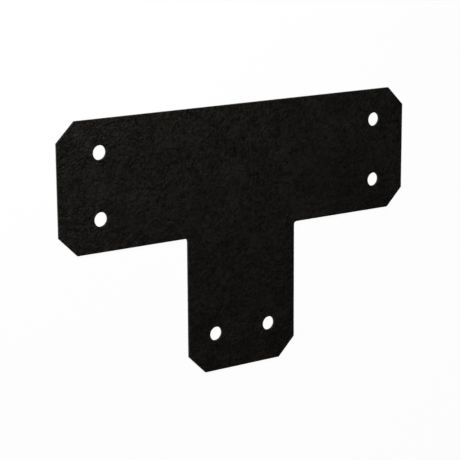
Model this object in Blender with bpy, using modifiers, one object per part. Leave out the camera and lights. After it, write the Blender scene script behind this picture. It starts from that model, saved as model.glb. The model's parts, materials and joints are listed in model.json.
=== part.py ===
"""T-shaped plate bracket, punched from flat sheet steel. Metres, +Z up.

The back face lies on z = 0. The origin is where the bar's and the stem's centre lines cross.
The bar runs along X and the stem runs from it towards -Y.
"""
import math

import bmesh
import bpy
from mathutils import Vector

# Outline of the blank
BAR_LENGTH = 0.4064  # 16 in from end to end
BAR_WIDTH = 0.127  # 5 in
STEM_WIDTH = 0.127  # 5 in
STEM_DROP = 0.1397  # 5 1/2 in from the bar's lower edge to the foot
CORNER_CUT = 0.01905  # 3/4 in off each outer corner, at 45 degrees
INNER_RADIUS = 0.003175  # 1/8 in, where the stem meets the bar
VERTEX_RADIUS = 0.0008  # 1/32 in, where a cut meets a straight edge

# Sheet
THICKNESS = 0.002657  # 12 gauge
EDGE_RADIUS = 0.0003  # both faces' edges, holes included

# Screw holes, in pairs
HOLE_DIAMETER = 0.0142875  # 9/16 in
END_GAUGE = 0.0635  # 2 1/2 in between the holes at each end of the bar
FOOT_GAUGE = 0.0635  # 2 1/2 in between the holes at the foot
LEFT_SETBACK = 0.04445  # 1 3/4 in from the bar's left end
RIGHT_SETBACK = 0.0381  # 1 1/2 in from the bar's right end
FOOT_SETBACK = 0.0381  # 1 1/2 in up from the foot

# Fineness of the round work
ARC_STEP = math.radians(11.25)
HOLE_SIDES = 48
EDGE_SEGMENTS = 2
PUNCH_OVERRUN = 0.002  # how far a punch passes each face
FLAT_ANGLE = math.radians(0.5)  # below this, neighbouring facets lie in one plane
WELD_DISTANCE = 0.000001

BLACK_COAT = (0.012, 0.0115, 0.0105, 1.0)


def new_collection(name):
    """A collection linked to the scene."""
    collection = bpy.data.collections.new(name)
    bpy.context.scene.collection.children.link(collection)
    return collection


def powder_coat():
    """Black textured powder coat over steel."""
    material = bpy.data.materials.new("black_powder_coat")
    material.use_nodes = True
    shader = material.node_tree.nodes["Principled BSDF"]
    shader.inputs["Base Color"].default_value = BLACK_COAT
    shader.inputs["Roughness"].default_value = 0.6
    shader.inputs["Metallic"].default_value = 0.0
    return material


def blank_corners():
    """The T's corners in order, anticlockwise, each with the radius that rounds it."""
    bar_x = BAR_LENGTH / 2
    bar_y = BAR_WIDTH / 2
    stem_x = STEM_WIDTH / 2
    foot_y = -bar_y - STEM_DROP
    cut = CORNER_CUT
    right_half = [
        (stem_x - cut, foot_y, VERTEX_RADIUS),
        (stem_x, foot_y + cut, VERTEX_RADIUS),
        (stem_x, -bar_y, INNER_RADIUS),
        (bar_x - cut, -bar_y, VERTEX_RADIUS),
        (bar_x, -bar_y + cut, VERTEX_RADIUS),
        (bar_x, bar_y - cut, VERTEX_RADIUS),
        (bar_x - cut, bar_y, VERTEX_RADIUS),
    ]
    left_half = [(-x, y, radius) for x, y, radius in reversed(right_half)]
    return right_half + left_half


def round_corner(before, corner, after, radius):
    """Points of the arc that is tangent to both edges at a corner."""
    to_before = (before - corner).normalized()
    to_after = (after - corner).normalized()
    half_angle = to_before.angle(to_after) / 2
    centre = corner + (to_before + to_after).normalized() * radius / math.sin(half_angle)
    start = corner + to_before * radius / math.tan(half_angle) - centre
    end = corner + to_after * radius / math.tan(half_angle) - centre
    turn = start.angle_signed(end)
    steps = max(2, math.ceil(abs(turn) / ARC_STEP))
    points = []
    for step in range(steps + 1):
        angle = math.atan2(start.y, start.x) - turn * step / steps
        points.append(centre + Vector((math.cos(angle), math.sin(angle))) * radius)
    return points


def blank_outline():
    """The whole outline, with every corner rounded."""
    corners = blank_corners()
    places = [Vector((x, y)) for x, y, radius in corners]
    outline = []
    for index, (x, y, radius) in enumerate(corners):
        following = places[(index + 1) % len(places)]
        outline += round_corner(places[index - 1], places[index], following, radius)
    return outline


def hole_centres():
    """Centres of the six screw holes: two at each end of the bar and two at the foot."""
    left_x = -BAR_LENGTH / 2 + LEFT_SETBACK
    right_x = BAR_LENGTH / 2 - RIGHT_SETBACK
    foot_y = -BAR_WIDTH / 2 - STEM_DROP + FOOT_SETBACK
    centres = []
    for side in (1, -1):
        centres.append((left_x, side * END_GAUGE / 2))
        centres.append((right_x, side * END_GAUGE / 2))
        centres.append((side * FOOT_GAUGE / 2, foot_y))
    return centres


def cut_blank(collection):
    """The T as a flat sheet, still without holes."""
    outline = blank_outline()
    curve = bpy.data.curves.new("t_outline", "CURVE")
    curve.dimensions = "2D"
    curve.fill_mode = "BOTH"
    curve.extrude = THICKNESS / 2
    spline = curve.splines.new("POLY")
    spline.points.add(len(outline) - 1)
    for point, place in zip(spline.points, outline):
        point.co = (place.x, place.y, 0.0, 1.0)
    spline.use_cyclic_u = True

    sketch = bpy.data.objects.new("t_outline", curve)
    sketch.location.z = THICKNESS / 2
    collection.objects.link(sketch)
    depsgraph = bpy.context.evaluated_depsgraph_get()
    mesh = bpy.data.meshes.new_from_object(sketch.evaluated_get(depsgraph))
    mesh.name = "t_plate"
    weld_caps(mesh)
    plate = bpy.data.objects.new("t_plate", mesh)
    plate.matrix_world = sketch.matrix_world
    collection.objects.link(plate)
    bpy.data.objects.remove(sketch)
    return plate


def weld_caps(mesh):
    """Join the two faces of an extruded outline to its walls, each face as one polygon."""
    body = bmesh.new()
    body.from_mesh(mesh)
    bmesh.ops.remove_doubles(body, verts=body.verts, dist=WELD_DISTANCE)
    bmesh.ops.recalc_face_normals(body, faces=body.faces)
    bmesh.ops.dissolve_limit(body, angle_limit=FLAT_ANGLE, verts=body.verts, edges=body.edges)
    body.to_mesh(mesh)
    body.free()


def add_punches(collection):
    """One round punch through the sheet at each screw hole."""
    mesh = bpy.data.meshes.new("hole_punch")
    body = bmesh.new()
    bmesh.ops.create_cone(
        body,
        cap_ends=True,
        segments=HOLE_SIDES,
        radius1=HOLE_DIAMETER / 2,
        radius2=HOLE_DIAMETER / 2,
        depth=THICKNESS + 2 * PUNCH_OVERRUN,
    )
    body.to_mesh(mesh)
    body.free()
    for number, (x, y) in enumerate(hole_centres(), start=1):
        punch = bpy.data.objects.new(f"hole_punch_{number}", mesh)
        punch.location = (x, y, THICKNESS / 2)
        punch.hide_render = True
        punch.display_type = "WIRE"
        collection.objects.link(punch)


def punch_holes(plate, punches):
    """Take every punch in the collection out of the plate."""
    holes = plate.modifiers.new("holes", "BOOLEAN")
    holes.operation = "DIFFERENCE"
    holes.operand_type = "COLLECTION"
    holes.collection = punches
    holes.solver = "EXACT"


def ease_edges(plate):
    """Round the edge between each face and the walls, and leave the walls' own corners.

    The clamp and the slide both follow the seams inside a face, which would thin the rounding.
    """
    easing = plate.modifiers.new("eased_edges", "BEVEL")
    easing.width = EDGE_RADIUS
    easing.segments = EDGE_SEGMENTS
    easing.use_clamp_overlap = False
    easing.loop_slide = False
    easing.limit_method = "ANGLE"
    easing.angle_limit = math.radians(60)


def shade_round_walls(plate):
    """Smooth shading on the holes and fillets, with crisp edges elsewhere."""
    plate.data.shade_smooth()
    plate.data.set_sharp_from_angle(angle=math.radians(30))


def build():
    """Make the plate, with its punches in a collection of their own."""
    for leftover in list(bpy.data.objects):
        bpy.data.objects.remove(leftover)
    plate = cut_blank(new_collection("t_plate_bracket"))
    punches = new_collection("punches")
    add_punches(punches)
    punch_holes(plate, punches)
    ease_edges(plate)
    shade_round_walls(plate)
    plate.data.materials.clear()
    plate.data.materials.append(powder_coat())


build()
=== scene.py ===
"""Looks of the T plate bracket: steel in wrinkled black powder coat, lying face up on a pale floor."""
import json
import math

import bmesh
import bpy
import numpy as np
from mathutils import Matrix, Vector
from mathutils.geometry import area_tri, delaunay_2d_cdt


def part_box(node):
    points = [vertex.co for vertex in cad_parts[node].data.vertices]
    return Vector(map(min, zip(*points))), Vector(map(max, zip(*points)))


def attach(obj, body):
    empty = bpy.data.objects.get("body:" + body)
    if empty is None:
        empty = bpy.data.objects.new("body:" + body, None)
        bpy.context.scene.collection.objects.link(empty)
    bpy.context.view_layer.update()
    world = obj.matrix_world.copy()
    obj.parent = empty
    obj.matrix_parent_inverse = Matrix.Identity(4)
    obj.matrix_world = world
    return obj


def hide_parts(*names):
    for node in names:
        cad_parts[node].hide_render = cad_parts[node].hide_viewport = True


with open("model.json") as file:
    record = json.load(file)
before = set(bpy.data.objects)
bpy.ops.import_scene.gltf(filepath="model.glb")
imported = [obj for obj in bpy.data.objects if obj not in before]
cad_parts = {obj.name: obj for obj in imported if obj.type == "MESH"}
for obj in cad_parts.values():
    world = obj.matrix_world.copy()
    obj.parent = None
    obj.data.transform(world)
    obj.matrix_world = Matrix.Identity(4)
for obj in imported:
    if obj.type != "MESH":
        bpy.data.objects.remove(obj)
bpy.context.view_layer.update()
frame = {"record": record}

MM = 0.001
IN = 0.0254

# The plate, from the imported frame
PLATE_LOW, PLATE_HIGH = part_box("t_plate")
BAR_LENGTH = PLATE_HIGH.x - PLATE_LOW.x
THICKNESS = PLATE_HIGH.z - PLATE_LOW.z
BAR_TOP = PLATE_HIGH.y
FOOT = PLATE_LOW.y
HOLE_BOXES = [opening["box_m"] for opening in frame["record"]["physics"]["openings"]]

# The plate's sizes that the frame doesn't state
STRAP_WIDTH = 5.0 * IN
CORNER_CUT = 0.75 * IN
INNER_RADIUS = 0.125 * IN
VERTEX_RADIUS = 0.8 * MM
EDGE_RADIUS = 0.3 * MM
HOLE_RADIUS = 9 / 16 * IN / 2

# Fineness of the coated plate's mesh
FRONT_SPACING = 1.15 * MM
BACK_SPACING = 2.0 * MM
RIM_STEP = 1.15 * MM
ARC_STEP = math.radians(15)
FEWEST_ARC_STEPS = 3
EDGE_STEPS = 3
WALL_STEPS = 2
RIM_MARGIN = 0.55  # gap between a rim and the face's first points, as a share of their spacing
WELD_DISTANCE = 1e-9

# Triangles between points of one straight edge are flatter than this, and lie outside the steel
SLIVER_HEIGHT = 0.001 * MM

# The coat narrows the holes, and wrinkles less round the rims than over the faces
COAT_BUILD = 0.12 * MM
HOLE_EDGE_RADIUS = 0.15 * MM
RIM_GIVE = 0.35
FACE_GIVE = 1.0

# Wrinkles pressed into the mesh: crests over softer lumps
WRINKLE_DEPTH = 0.22 * MM
WRINKLE_SIZE = 3.6 * MM
WRINKLE_SEED = 3.0
WRINKLE_DETAIL = 1.5
WRINKLE_DISTORTION = 0.9
CREST_SHARPNESS = 4.0
CREST_SHARE = 0.6
LUMP_SHARE = 0.4
VALLEY_LEVEL = 0.35
CREST_LEVEL = 0.85

# Finer relief that is only in the material
LUMP_SIZE = 5.5 * MM
LUMP_DEPTH = 1.3 * MM
CREASE_SIZE = 3.4 * MM
CREASE_DEPTH = 0.3 * MM
CREASE_SHARPNESS = 8.0
GRAIN_SIZE = 1.3 * MM
GRAIN_DEPTH = 0.24 * MM

# Mottling of the coat's tone and gloss, with painted shade from the crease pattern: the tone is darker
# between the crease crests and lighter on them
PATCH_SIZE = 36 * MM
PATCH_SHARE = 2.6
FLECK_SIZE = 6 * MM
FLECK_SHARE = 5.0
NOISE_MIDDLE = 0.5
# painted shade: how strongly the crease pattern darkens the tone between its crests and lightens it on them
CREASE_SHADE_MIDDLE = 0.4
CREASE_SHADE_SHARE = 1.6
MOTTLE_MIDDLE = 0.37
MOTTLE_SKEW = 2.7
ROUGH_LOW = 0.55
ROUGH_HIGH = 0.61
COAT_SPECULAR = 0.18
COAT_DARK = (0.0018, 0.0012, 0.0001, 1.0)
COAT_LIGHT = (0.0106, 0.0095, 0.0073, 1.0)

# Floor, in metres
FLOOR_REACH = 6.0
FLOOR_BEND = 0.8
FLOOR_RISE = 1.0
FLOOR_BEND_STEPS = 12
FLOOR_TURN_STEPS = 64
FLOOR_GAP = 0.0001
FLOOR_WELD = 0.0001
FLOOR_COLOUR = (0.95, 0.95, 0.95, 1.0)
FLOOR_WHITE_SHARE = 0.96  # the rest takes the plate's shadow

# Light, in metres and watts
LAMP_PLACE = (-0.44, 0.73, 0.6)
LAMP_AIM = (0.0, -0.07, 0.0)
LAMP_SIZE = 0.5
LAMP_POWER = 14.6
WORLD_COLOUR = (1.0, 1.0, 1.0, 1.0)
WORLD_STRENGTH = 0.02

# Camera
LENS = 122.2
SENSOR_WIDTH = 36.0
SHIFT_Y = -0.1
CLIP_START = 0.05
CLIP_END = 50.0
CAMERA_TURN = math.radians(33.59)
CAMERA_TILT = math.radians(11.79)
CAMERA_ROLL = math.radians(0.35)
CAMERA_OFFSET = Vector((0.41, 0.67, -60.55)) * IN


def corner_list():
    """Corners of the T, anticlockwise, each with the radius that rounds it and 1 outside or -1 inside."""
    bar_x = BAR_LENGTH / 2
    bar_y = BAR_TOP
    stem_x = STRAP_WIDTH / 2
    cut = CORNER_CUT
    right_half = [
        (stem_x - cut, FOOT, VERTEX_RADIUS, 1),
        (stem_x, FOOT + cut, VERTEX_RADIUS, 1),
        (stem_x, -bar_y, INNER_RADIUS, -1),
        (bar_x - cut, -bar_y, VERTEX_RADIUS, 1),
        (bar_x, -bar_y + cut, VERTEX_RADIUS, 1),
        (bar_x, bar_y - cut, VERTEX_RADIUS, 1),
        (bar_x - cut, bar_y, VERTEX_RADIUS, 1),
    ]
    left_half = [(-x, y, radius, side) for x, y, radius, side in reversed(right_half)]
    return right_half + left_half


def outline_ring():
    """Points round the T and the outward direction at each, straight runs divided evenly."""
    corners = corner_list()
    places = [Vector(corner[:2]) for corner in corners]
    arcs = []
    for index, (x, y, radius, side) in enumerate(corners):
        corner = places[index]
        to_before = (places[index - 1] - corner).normalized()
        to_after = (places[(index + 1) % len(places)] - corner).normalized()
        half_angle = to_before.angle(to_after) / 2
        centre = corner + (to_before + to_after).normalized() * radius / math.sin(half_angle)
        start = (corner + to_before * radius / math.tan(half_angle) - centre).normalized()
        turn = side * (math.pi - 2 * half_angle)
        steps = max(FEWEST_ARC_STEPS, math.ceil(abs(turn) / ARC_STEP))
        base = math.atan2(start.y, start.x)
        arc = []
        for step in range(steps + 1):
            angle = base + turn * step / steps
            spoke = Vector((math.cos(angle), math.sin(angle)))
            arc.append((centre + spoke * radius, spoke * side))
        arcs.append(arc)
    ring = []
    for index, arc in enumerate(arcs):
        ring += arc
        start, outward = arc[-1]
        end = arcs[(index + 1) % len(arcs)][0][0]
        pieces = max(1, round((end - start).length / RIM_STEP))
        ring += [(start.lerp(end, piece / pieces), outward) for piece in range(1, pieces)]
    return ring


def hole_ring(box):
    """Points round a screw hole and the direction out of the steel at each."""
    centre = Vector([(box[0][axis] + box[1][axis]) / 2 for axis in (0, 1)])
    count = 4 * round(2 * math.pi * HOLE_RADIUS / RIM_STEP / 4)
    ring = []
    for step in range(count):
        angle = 2 * math.pi * step / count
        spoke = Vector((math.cos(angle), math.sin(angle)))
        ring.append((centre + spoke * (HOLE_RADIUS - COAT_BUILD), -spoke))
    return ring


def edge_profile(radius):
    """Inset and height of each step from the back face, round the eased edges, to the front face."""
    quarter = [math.radians(90 * step / EDGE_STEPS) for step in range(EDGE_STEPS + 1)]
    lower = [(radius * (1 - math.sin(angle)), radius * (1 - math.cos(angle))) for angle in quarter]
    wall = THICKNESS - 2 * radius
    middle = [(0.0, radius + wall * step / WALL_STEPS) for step in range(1, WALL_STEPS)]
    upper = [(inset, THICKNESS - height) for inset, height in reversed(lower)]
    return lower + middle + upper


def inside_blank(points, margin):
    """True where a point lies inside the T and at least margin from its edges."""
    x, y = np.abs(points[:, 0]), points[:, 1]
    slant = margin * (math.sqrt(2) - 1)
    bar_x = BAR_LENGTH / 2 - margin
    bar_y = BAR_TOP - margin
    cut = CORNER_CUT - slant
    bar = (x < bar_x) & (np.abs(y) < bar_y) & (x + np.abs(y) < bar_x + bar_y - cut)
    stem_x = STRAP_WIDTH / 2 - margin
    foot = FOOT + margin
    stem = (x < stem_x) & (y > foot) & (y < 0) & (x - y < stem_x - foot - cut)
    return bar | stem


def face_grid(spacing):
    """Points spread evenly, in offset rows, over a flat face of the plate."""
    rows = np.arange(FOOT, BAR_TOP, spacing * math.sqrt(3) / 2)
    columns = np.arange(-BAR_LENGTH / 2, BAR_LENGTH / 2, spacing)
    x, y = np.meshgrid(columns, rows)
    x[::2] += spacing / 2
    points = np.column_stack((x.ravel(), y.ravel()))
    margin = EDGE_RADIUS + RIM_MARGIN * spacing
    points = points[inside_blank(points, margin)]
    for box in HOLE_BOXES:
        centre = np.add(box[0][:2], box[1][:2]) / 2
        points = points[np.hypot(*(points - centre).T) > HOLE_RADIUS + margin]
    return points


def on_steel(point, starts, ends):
    """True where a point lies inside the outline and in no hole, by counting the rims to its right."""
    spans = (starts[:, 1] > point.y) != (ends[:, 1] > point.y)
    low, high = starts[spans], ends[spans]
    share = (point.y - low[:, 1]) / (high[:, 1] - low[:, 1])
    crossed = np.count_nonzero(low[:, 0] + share * (high[:, 0] - low[:, 0]) > point.x)
    return crossed % 2 == 1


def face_triangles(rims, spacing):
    """Points spread over a face, and triangles over it as triples of indices, the rims' points first."""
    rim_points = [point for rim in rims for point in rim]
    grid = [Vector(point) for point in face_grid(spacing)]
    edges = []
    first = 0
    for rim in rims:
        edges += [(first + step, first + (step + 1) % len(rim)) for step in range(len(rim))]
        first += len(rim)
    starts = np.array([rim_points[start] for start, end in edges])
    ends = np.array([rim_points[end] for start, end in edges])
    meshed = delaunay_2d_cdt(rim_points + grid, edges, [], 0, WELD_DISTANCE, True)
    points, _, triangles, origins, _, _ = meshed
    kept = []
    for triangle in triangles:
        names = [origins[corner][0] for corner in triangle]
        corners = [points[corner] for corner in triangle]
        centre = sum(corners, Vector((0.0, 0.0))) / 3
        longest = max((corners[side] - corners[side - 1]).length for side in range(3))
        broad = 2 * area_tri(*corners) > SLIVER_HEIGHT * longest
        if max(names) >= first or (broad and on_steel(centre, starts, ends)):
            kept.append(names)
    return grid, kept


def build_plate():
    """The plate as one closed mesh: a fine front, a coarser back and rims with eased edges."""
    rings = [(outline_ring(), EDGE_RADIUS)] + [(hole_ring(box), HOLE_EDGE_RADIUS) for box in HOLE_BOXES]
    body = bmesh.new()
    give = body.verts.layers.float.new("give")
    ladders = []
    for ring, radius in rings:
        ladder = []
        for inset, height in edge_profile(radius):
            level = [body.verts.new((*(point - outward * inset), height)) for point, outward in ring]
            for vert in level:
                vert[give] = RIM_GIVE
            ladder.append(level)
        ladders.append(ladder)
    for ladder in ladders:
        for low, high in zip(ladder, ladder[1:]):
            for step in range(len(low)):
                after = (step + 1) % len(low)
                body.faces.new((low[step], low[after], high[after], high[step]))
    for level, height, spacing in ((-1, THICKNESS, FRONT_SPACING), (0, 0.0, BACK_SPACING)):
        rims = [ladder[level] for ladder in ladders]
        rim_verts = [vert for rim in rims for vert in rim]
        flat_rims = [[vert.co.xy for vert in rim] for rim in rims]
        grid, triangles = face_triangles(flat_rims, spacing)
        grid_verts = [body.verts.new((point.x, point.y, height)) for point in grid]
        for vert in grid_verts:
            vert[give] = FACE_GIVE
        verts = rim_verts + grid_verts
        for triangle in triangles:
            body.faces.new([verts[index] for index in triangle])
    bmesh.ops.recalc_face_normals(body, faces=body.faces)
    mesh = bpy.data.meshes.new("coated_plate")
    body.to_mesh(mesh)
    body.free()
    mesh.transform(Matrix.Translation((0.0, 0.0, PLATE_LOW.z)))
    mesh.shade_smooth()
    plate = bpy.data.objects.new("coated_plate", mesh)
    bpy.context.scene.collection.objects.link(plate)
    return plate


def node(tree, kind, inputs=None, **settings):
    """A node with its settings made and its inputs set, or linked where the value is a socket."""
    made = tree.nodes.new(kind)
    for name, value in settings.items():
        setattr(made, name, value)
    for name, value in (inputs or {}).items():
        if isinstance(value, bpy.types.NodeSocket):
            tree.links.new(value, made.inputs[name])
        else:
            made.inputs[name].default_value = value
    return made


def math_node(tree, operation, first, second=0.0):
    """The result of one sum on two values or sockets."""
    return node(tree, "ShaderNodeMath", {0: first, 1: second}, operation=operation).outputs[0]


def noise(tree, place, size, detail, roughness, distortion, seed):
    """Noise from 0 to 1 whose largest lumps are about size across."""
    inputs = {
        "Vector": place,
        "W": seed,
        "Scale": 1.0 / size,
        "Detail": detail,
        "Roughness": roughness,
        "Distortion": distortion,
    }
    return node(tree, "ShaderNodeTexNoise", inputs, noise_dimensions="4D").outputs[0]


def ridges(tree, value, sharpness):
    """Crests from 0 to 1 that run where the noise crosses its middle value."""
    offset = math_node(tree, "SUBTRACT", value, 0.5)
    away = math_node(tree, "ABSOLUTE", offset)
    fall = math_node(tree, "MULTIPLY", away, sharpness)
    return math_node(tree, "SUBTRACT", 1.0, math_node(tree, "MINIMUM", fall, 1.0))


def blend_of(tree, *parts):
    """The tone's low middle, moved by each pattern's distance from its own middle times its strength."""
    total = MOTTLE_MIDDLE
    for pattern, middle, strength in parts:
        swing = math_node(tree, "MULTIPLY", math_node(tree, "SUBTRACT", pattern, middle), strength)
        total = math_node(tree, "ADD", swing, total)
    return total


def relief_tree():
    """Geometry Nodes that press the wrinkles of the coat into a surface, never outwards."""
    tree = bpy.data.node_groups.new("coat_wrinkles", "GeometryNodeTree")
    sockets = tree.interface
    sockets.new_socket("Geometry", in_out="INPUT", socket_type="NodeSocketGeometry")
    for name, value in (("Depth", WRINKLE_DEPTH), ("Wrinkle Size", WRINKLE_SIZE), ("Seed", WRINKLE_SEED)):
        made = sockets.new_socket(name, in_out="INPUT", socket_type="NodeSocketFloat")
        made.default_value = value
    sockets.new_socket("Coat", in_out="INPUT", socket_type="NodeSocketMaterial")
    sockets.new_socket("Geometry", in_out="OUTPUT", socket_type="NodeSocketGeometry")
    given = node(tree, "NodeGroupInput").outputs
    place = node(tree, "GeometryNodeInputPosition").outputs[0]
    normal = node(tree, "GeometryNodeInputNormal").outputs[0]
    frequency = math_node(tree, "DIVIDE", 1.0, given["Wrinkle Size"])
    bent = {
        "Vector": place,
        "W": given["Seed"],
        "Scale": frequency,
        "Detail": WRINKLE_DETAIL,
        "Distortion": WRINKLE_DISTORTION,
    }
    lumps = node(tree, "ShaderNodeTexNoise", bent, noise_dimensions="4D").outputs[0]
    sharp = math_node(tree, "MULTIPLY", ridges(tree, lumps, CREST_SHARPNESS), CREST_SHARE)
    soft = math_node(tree, "MULTIPLY", lumps, LUMP_SHARE)
    spread = {0: math_node(tree, "ADD", sharp, soft), 1: VALLEY_LEVEL, 2: CREST_LEVEL}
    height = node(tree, "ShaderNodeMapRange", spread, interpolation_type="SMOOTHSTEP").outputs[0]
    give = node(tree, "GeometryNodeInputNamedAttribute", {"Name": "give"}).outputs["Attribute"]
    depth = math_node(tree, "MULTIPLY", given["Depth"], give)
    sunk = math_node(tree, "MULTIPLY", math_node(tree, "SUBTRACT", height, 1.0), depth)
    offset = node(tree, "ShaderNodeVectorMath", {0: normal, "Scale": sunk}, operation="SCALE").outputs[0]
    pressed = {"Geometry": given["Geometry"], "Offset": offset}
    moved = node(tree, "GeometryNodeSetPosition", pressed).outputs[0]
    real = node(tree, "GeometryNodeRealizeInstances", {"Geometry": moved}).outputs[0]
    painted = node(tree, "GeometryNodeSetMaterial", {"Geometry": real, "Material": given["Coat"]}).outputs[0]
    node(tree, "NodeGroupOutput", {"Geometry": painted})
    return tree


def coat(plate, material):
    """The plate with the wrinkles of its coat in its mesh, and its material."""
    tree = relief_tree()
    names = {item.name: item.identifier for item in tree.interface.items_tree if item.in_out == "INPUT"}
    wrinkles = plate.modifiers.new("coat_wrinkles", "NODES")
    wrinkles.node_group = tree
    wrinkles[names["Depth"]] = WRINKLE_DEPTH
    wrinkles[names["Wrinkle Size"]] = WRINKLE_SIZE
    wrinkles[names["Seed"]] = WRINKLE_SEED
    wrinkles[names["Coat"]] = material
    graph = bpy.context.evaluated_depsgraph_get()
    coated = bpy.data.meshes.new_from_object(plate.evaluated_get(graph))
    plate.modifiers.remove(wrinkles)
    bare = plate.data
    plate.data = coated
    bpy.data.meshes.remove(bare)
    coated.name = "coated_plate"


def powder_coat():
    """Wrinkled black powder coat: warm black, mottled, with fine crease and grain bumps, and painted shade
    in its tone that is darker between the crease crests and lighter on them.
    """
    material = bpy.data.materials.new("wrinkled_black_coat")
    material.use_nodes = True
    tree = material.node_tree
    shader = tree.nodes["Principled BSDF"]
    place = node(tree, "ShaderNodeTexCoord").outputs["Object"]

    patches = noise(tree, place, PATCH_SIZE, detail=2.0, roughness=0.8, distortion=0.4, seed=11.7)
    flecks = noise(tree, place, FLECK_SIZE, detail=2.0, roughness=0.9, distortion=0.6, seed=4.2)
    folds = noise(tree, place, CREASE_SIZE, detail=1.0, roughness=0.5, distortion=1.5, seed=8.3)
    crease_relief_and_shade = ridges(tree, folds, CREASE_SHARPNESS)
    lumps = noise(tree, place, LUMP_SIZE, detail=1.0, roughness=0.5, distortion=1.0, seed=6.1)
    grain = noise(tree, place, GRAIN_SIZE, detail=2.0, roughness=0.6, distortion=0.0, seed=2.9)

    mottle_and_crease_shade = blend_of(
        tree,
        (patches, NOISE_MIDDLE, PATCH_SHARE),
        (flecks, NOISE_MIDDLE, FLECK_SHARE),
        # painted shade: the crease pattern darkens the tone between its crests and lightens it on them, on
        # top of the real crease bump
        (crease_relief_and_shade, CREASE_SHADE_MIDDLE, CREASE_SHADE_SHARE),
    )
    tone = math_node(tree, "POWER", mottle_and_crease_shade, MOTTLE_SKEW)
    colour = node(tree, "ShaderNodeMix", {0: tone, 6: COAT_DARK, 7: COAT_LIGHT}, data_type="RGBA").outputs[2]
    tree.links.new(colour, shader.inputs["Base Color"])

    rough = node(tree, "ShaderNodeMapRange", {0: mottle_and_crease_shade, 3: ROUGH_LOW, 4: ROUGH_HIGH}).outputs[0]
    tree.links.new(rough, shader.inputs["Roughness"])
    shader.inputs["Specular IOR Level"].default_value = COAT_SPECULAR

    relief = node(tree, "ShaderNodeBump", {"Distance": LUMP_DEPTH, "Height": lumps}).outputs[0]
    for depth, height in ((GRAIN_DEPTH, grain), (CREASE_DEPTH, crease_relief_and_shade)):
        raised = {"Distance": depth, "Height": height, "Normal": relief}
        relief = node(tree, "ShaderNodeBump", raised).outputs[0]
    tree.links.new(relief, shader.inputs["Normal"])
    return material


def studio_floor():
    """A pale floor that curves up into a low backdrop all round."""
    profile = bpy.data.meshes.new("studio_floor")
    points = [(0.0, 0.0, 0.0)]
    for step in range(FLOOR_BEND_STEPS + 1):
        angle = math.radians(90 * step / FLOOR_BEND_STEPS)
        out = FLOOR_REACH + FLOOR_BEND * math.sin(angle)
        points.append((out, 0.0, FLOOR_BEND * (1 - math.cos(angle))))
    points.append((FLOOR_REACH + FLOOR_BEND, 0.0, FLOOR_RISE))
    edges = [(index, index + 1) for index in range(len(points) - 1)]
    profile.from_pydata(points, edges, [])
    floor = bpy.data.objects.new("studio_floor", profile)
    floor.location.z = PLATE_LOW.z - FLOOR_GAP
    bpy.context.scene.collection.objects.link(floor)
    turned = floor.modifiers.new("turned", "SCREW")
    turned.steps = FLOOR_TURN_STEPS
    turned.render_steps = FLOOR_TURN_STEPS
    turned.use_smooth_shade = True
    turned.use_merge_vertices = True
    turned.merge_threshold = FLOOR_WELD
    turned.use_normal_calculate = True
    floor.data.materials.append(floor_paint())


def floor_paint():
    """Pale floor that shows white to the camera and in reflections, and still takes a soft shadow."""
    material = bpy.data.materials.new("pale_floor")
    material.use_nodes = True
    tree = material.node_tree
    tree.nodes.clear()
    rays = node(tree, "ShaderNodeLightPath").outputs
    seen = math_node(tree, "MAXIMUM", rays["Is Camera Ray"], rays["Is Glossy Ray"])
    seen = math_node(tree, "MAXIMUM", seen, rays["Is Transmission Ray"])
    share = math_node(tree, "MULTIPLY", seen, FLOOR_WHITE_SHARE)
    paint = node(tree, "ShaderNodeBsdfDiffuse", {"Color": FLOOR_COLOUR}).outputs[0]
    glow = node(tree, "ShaderNodeEmission", {"Strength": 1.0}).outputs[0]
    mixed = node(tree, "ShaderNodeMixShader", {"Fac": share, 1: paint, 2: glow}).outputs[0]
    node(tree, "ShaderNodeOutputMaterial", {"Surface": mixed})
    return material


def studio_light():
    """One soft lamp at the upper left, and a dim world."""
    lamp = bpy.data.lights.new("upper_left_lamp", "AREA")
    lamp.shape = "SQUARE"
    lamp.size = LAMP_SIZE
    lamp.energy = LAMP_POWER
    fixture = bpy.data.objects.new("upper_left_lamp", lamp)
    fixture.location = LAMP_PLACE
    facing = Vector(LAMP_PLACE) - Vector(LAMP_AIM)
    fixture.rotation_euler = facing.to_track_quat("Z", "Y").to_euler()
    fixture.visible_camera = False
    bpy.context.scene.collection.objects.link(fixture)

    world = bpy.data.worlds.new("studio")
    world.use_nodes = True
    sky = world.node_tree.nodes["Background"]
    sky.inputs["Color"].default_value = WORLD_COLOUR
    sky.inputs["Strength"].default_value = WORLD_STRENGTH
    bpy.context.scene.world = world


def photo_camera():
    """The photograph's view: from the upper left, with the bar level across the picture."""
    roll = Matrix.Rotation(CAMERA_ROLL, 3, "Z")
    tilt = Matrix.Rotation(CAMERA_TILT, 3, "X")
    turn = roll @ tilt @ Matrix.Rotation(CAMERA_TURN, 3, "Y")
    lens = bpy.data.cameras.new("photo_camera")
    lens.lens = LENS
    lens.sensor_width = SENSOR_WIDTH
    lens.shift_y = SHIFT_Y
    lens.clip_start = CLIP_START
    lens.clip_end = CLIP_END
    camera = bpy.data.objects.new("photo_camera", lens)
    facing = turn.transposed()
    camera.matrix_world = Matrix.Translation(-(facing @ CAMERA_OFFSET)) @ facing.to_4x4()
    bpy.context.scene.collection.objects.link(camera)
    bpy.context.scene.camera = camera


bpy.context.scene.view_settings.view_transform = "Standard"
photo_camera()
studio_floor()
studio_light()
plate = build_plate()
coat(plate, powder_coat())
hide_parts("t_plate")
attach(plate, "root")
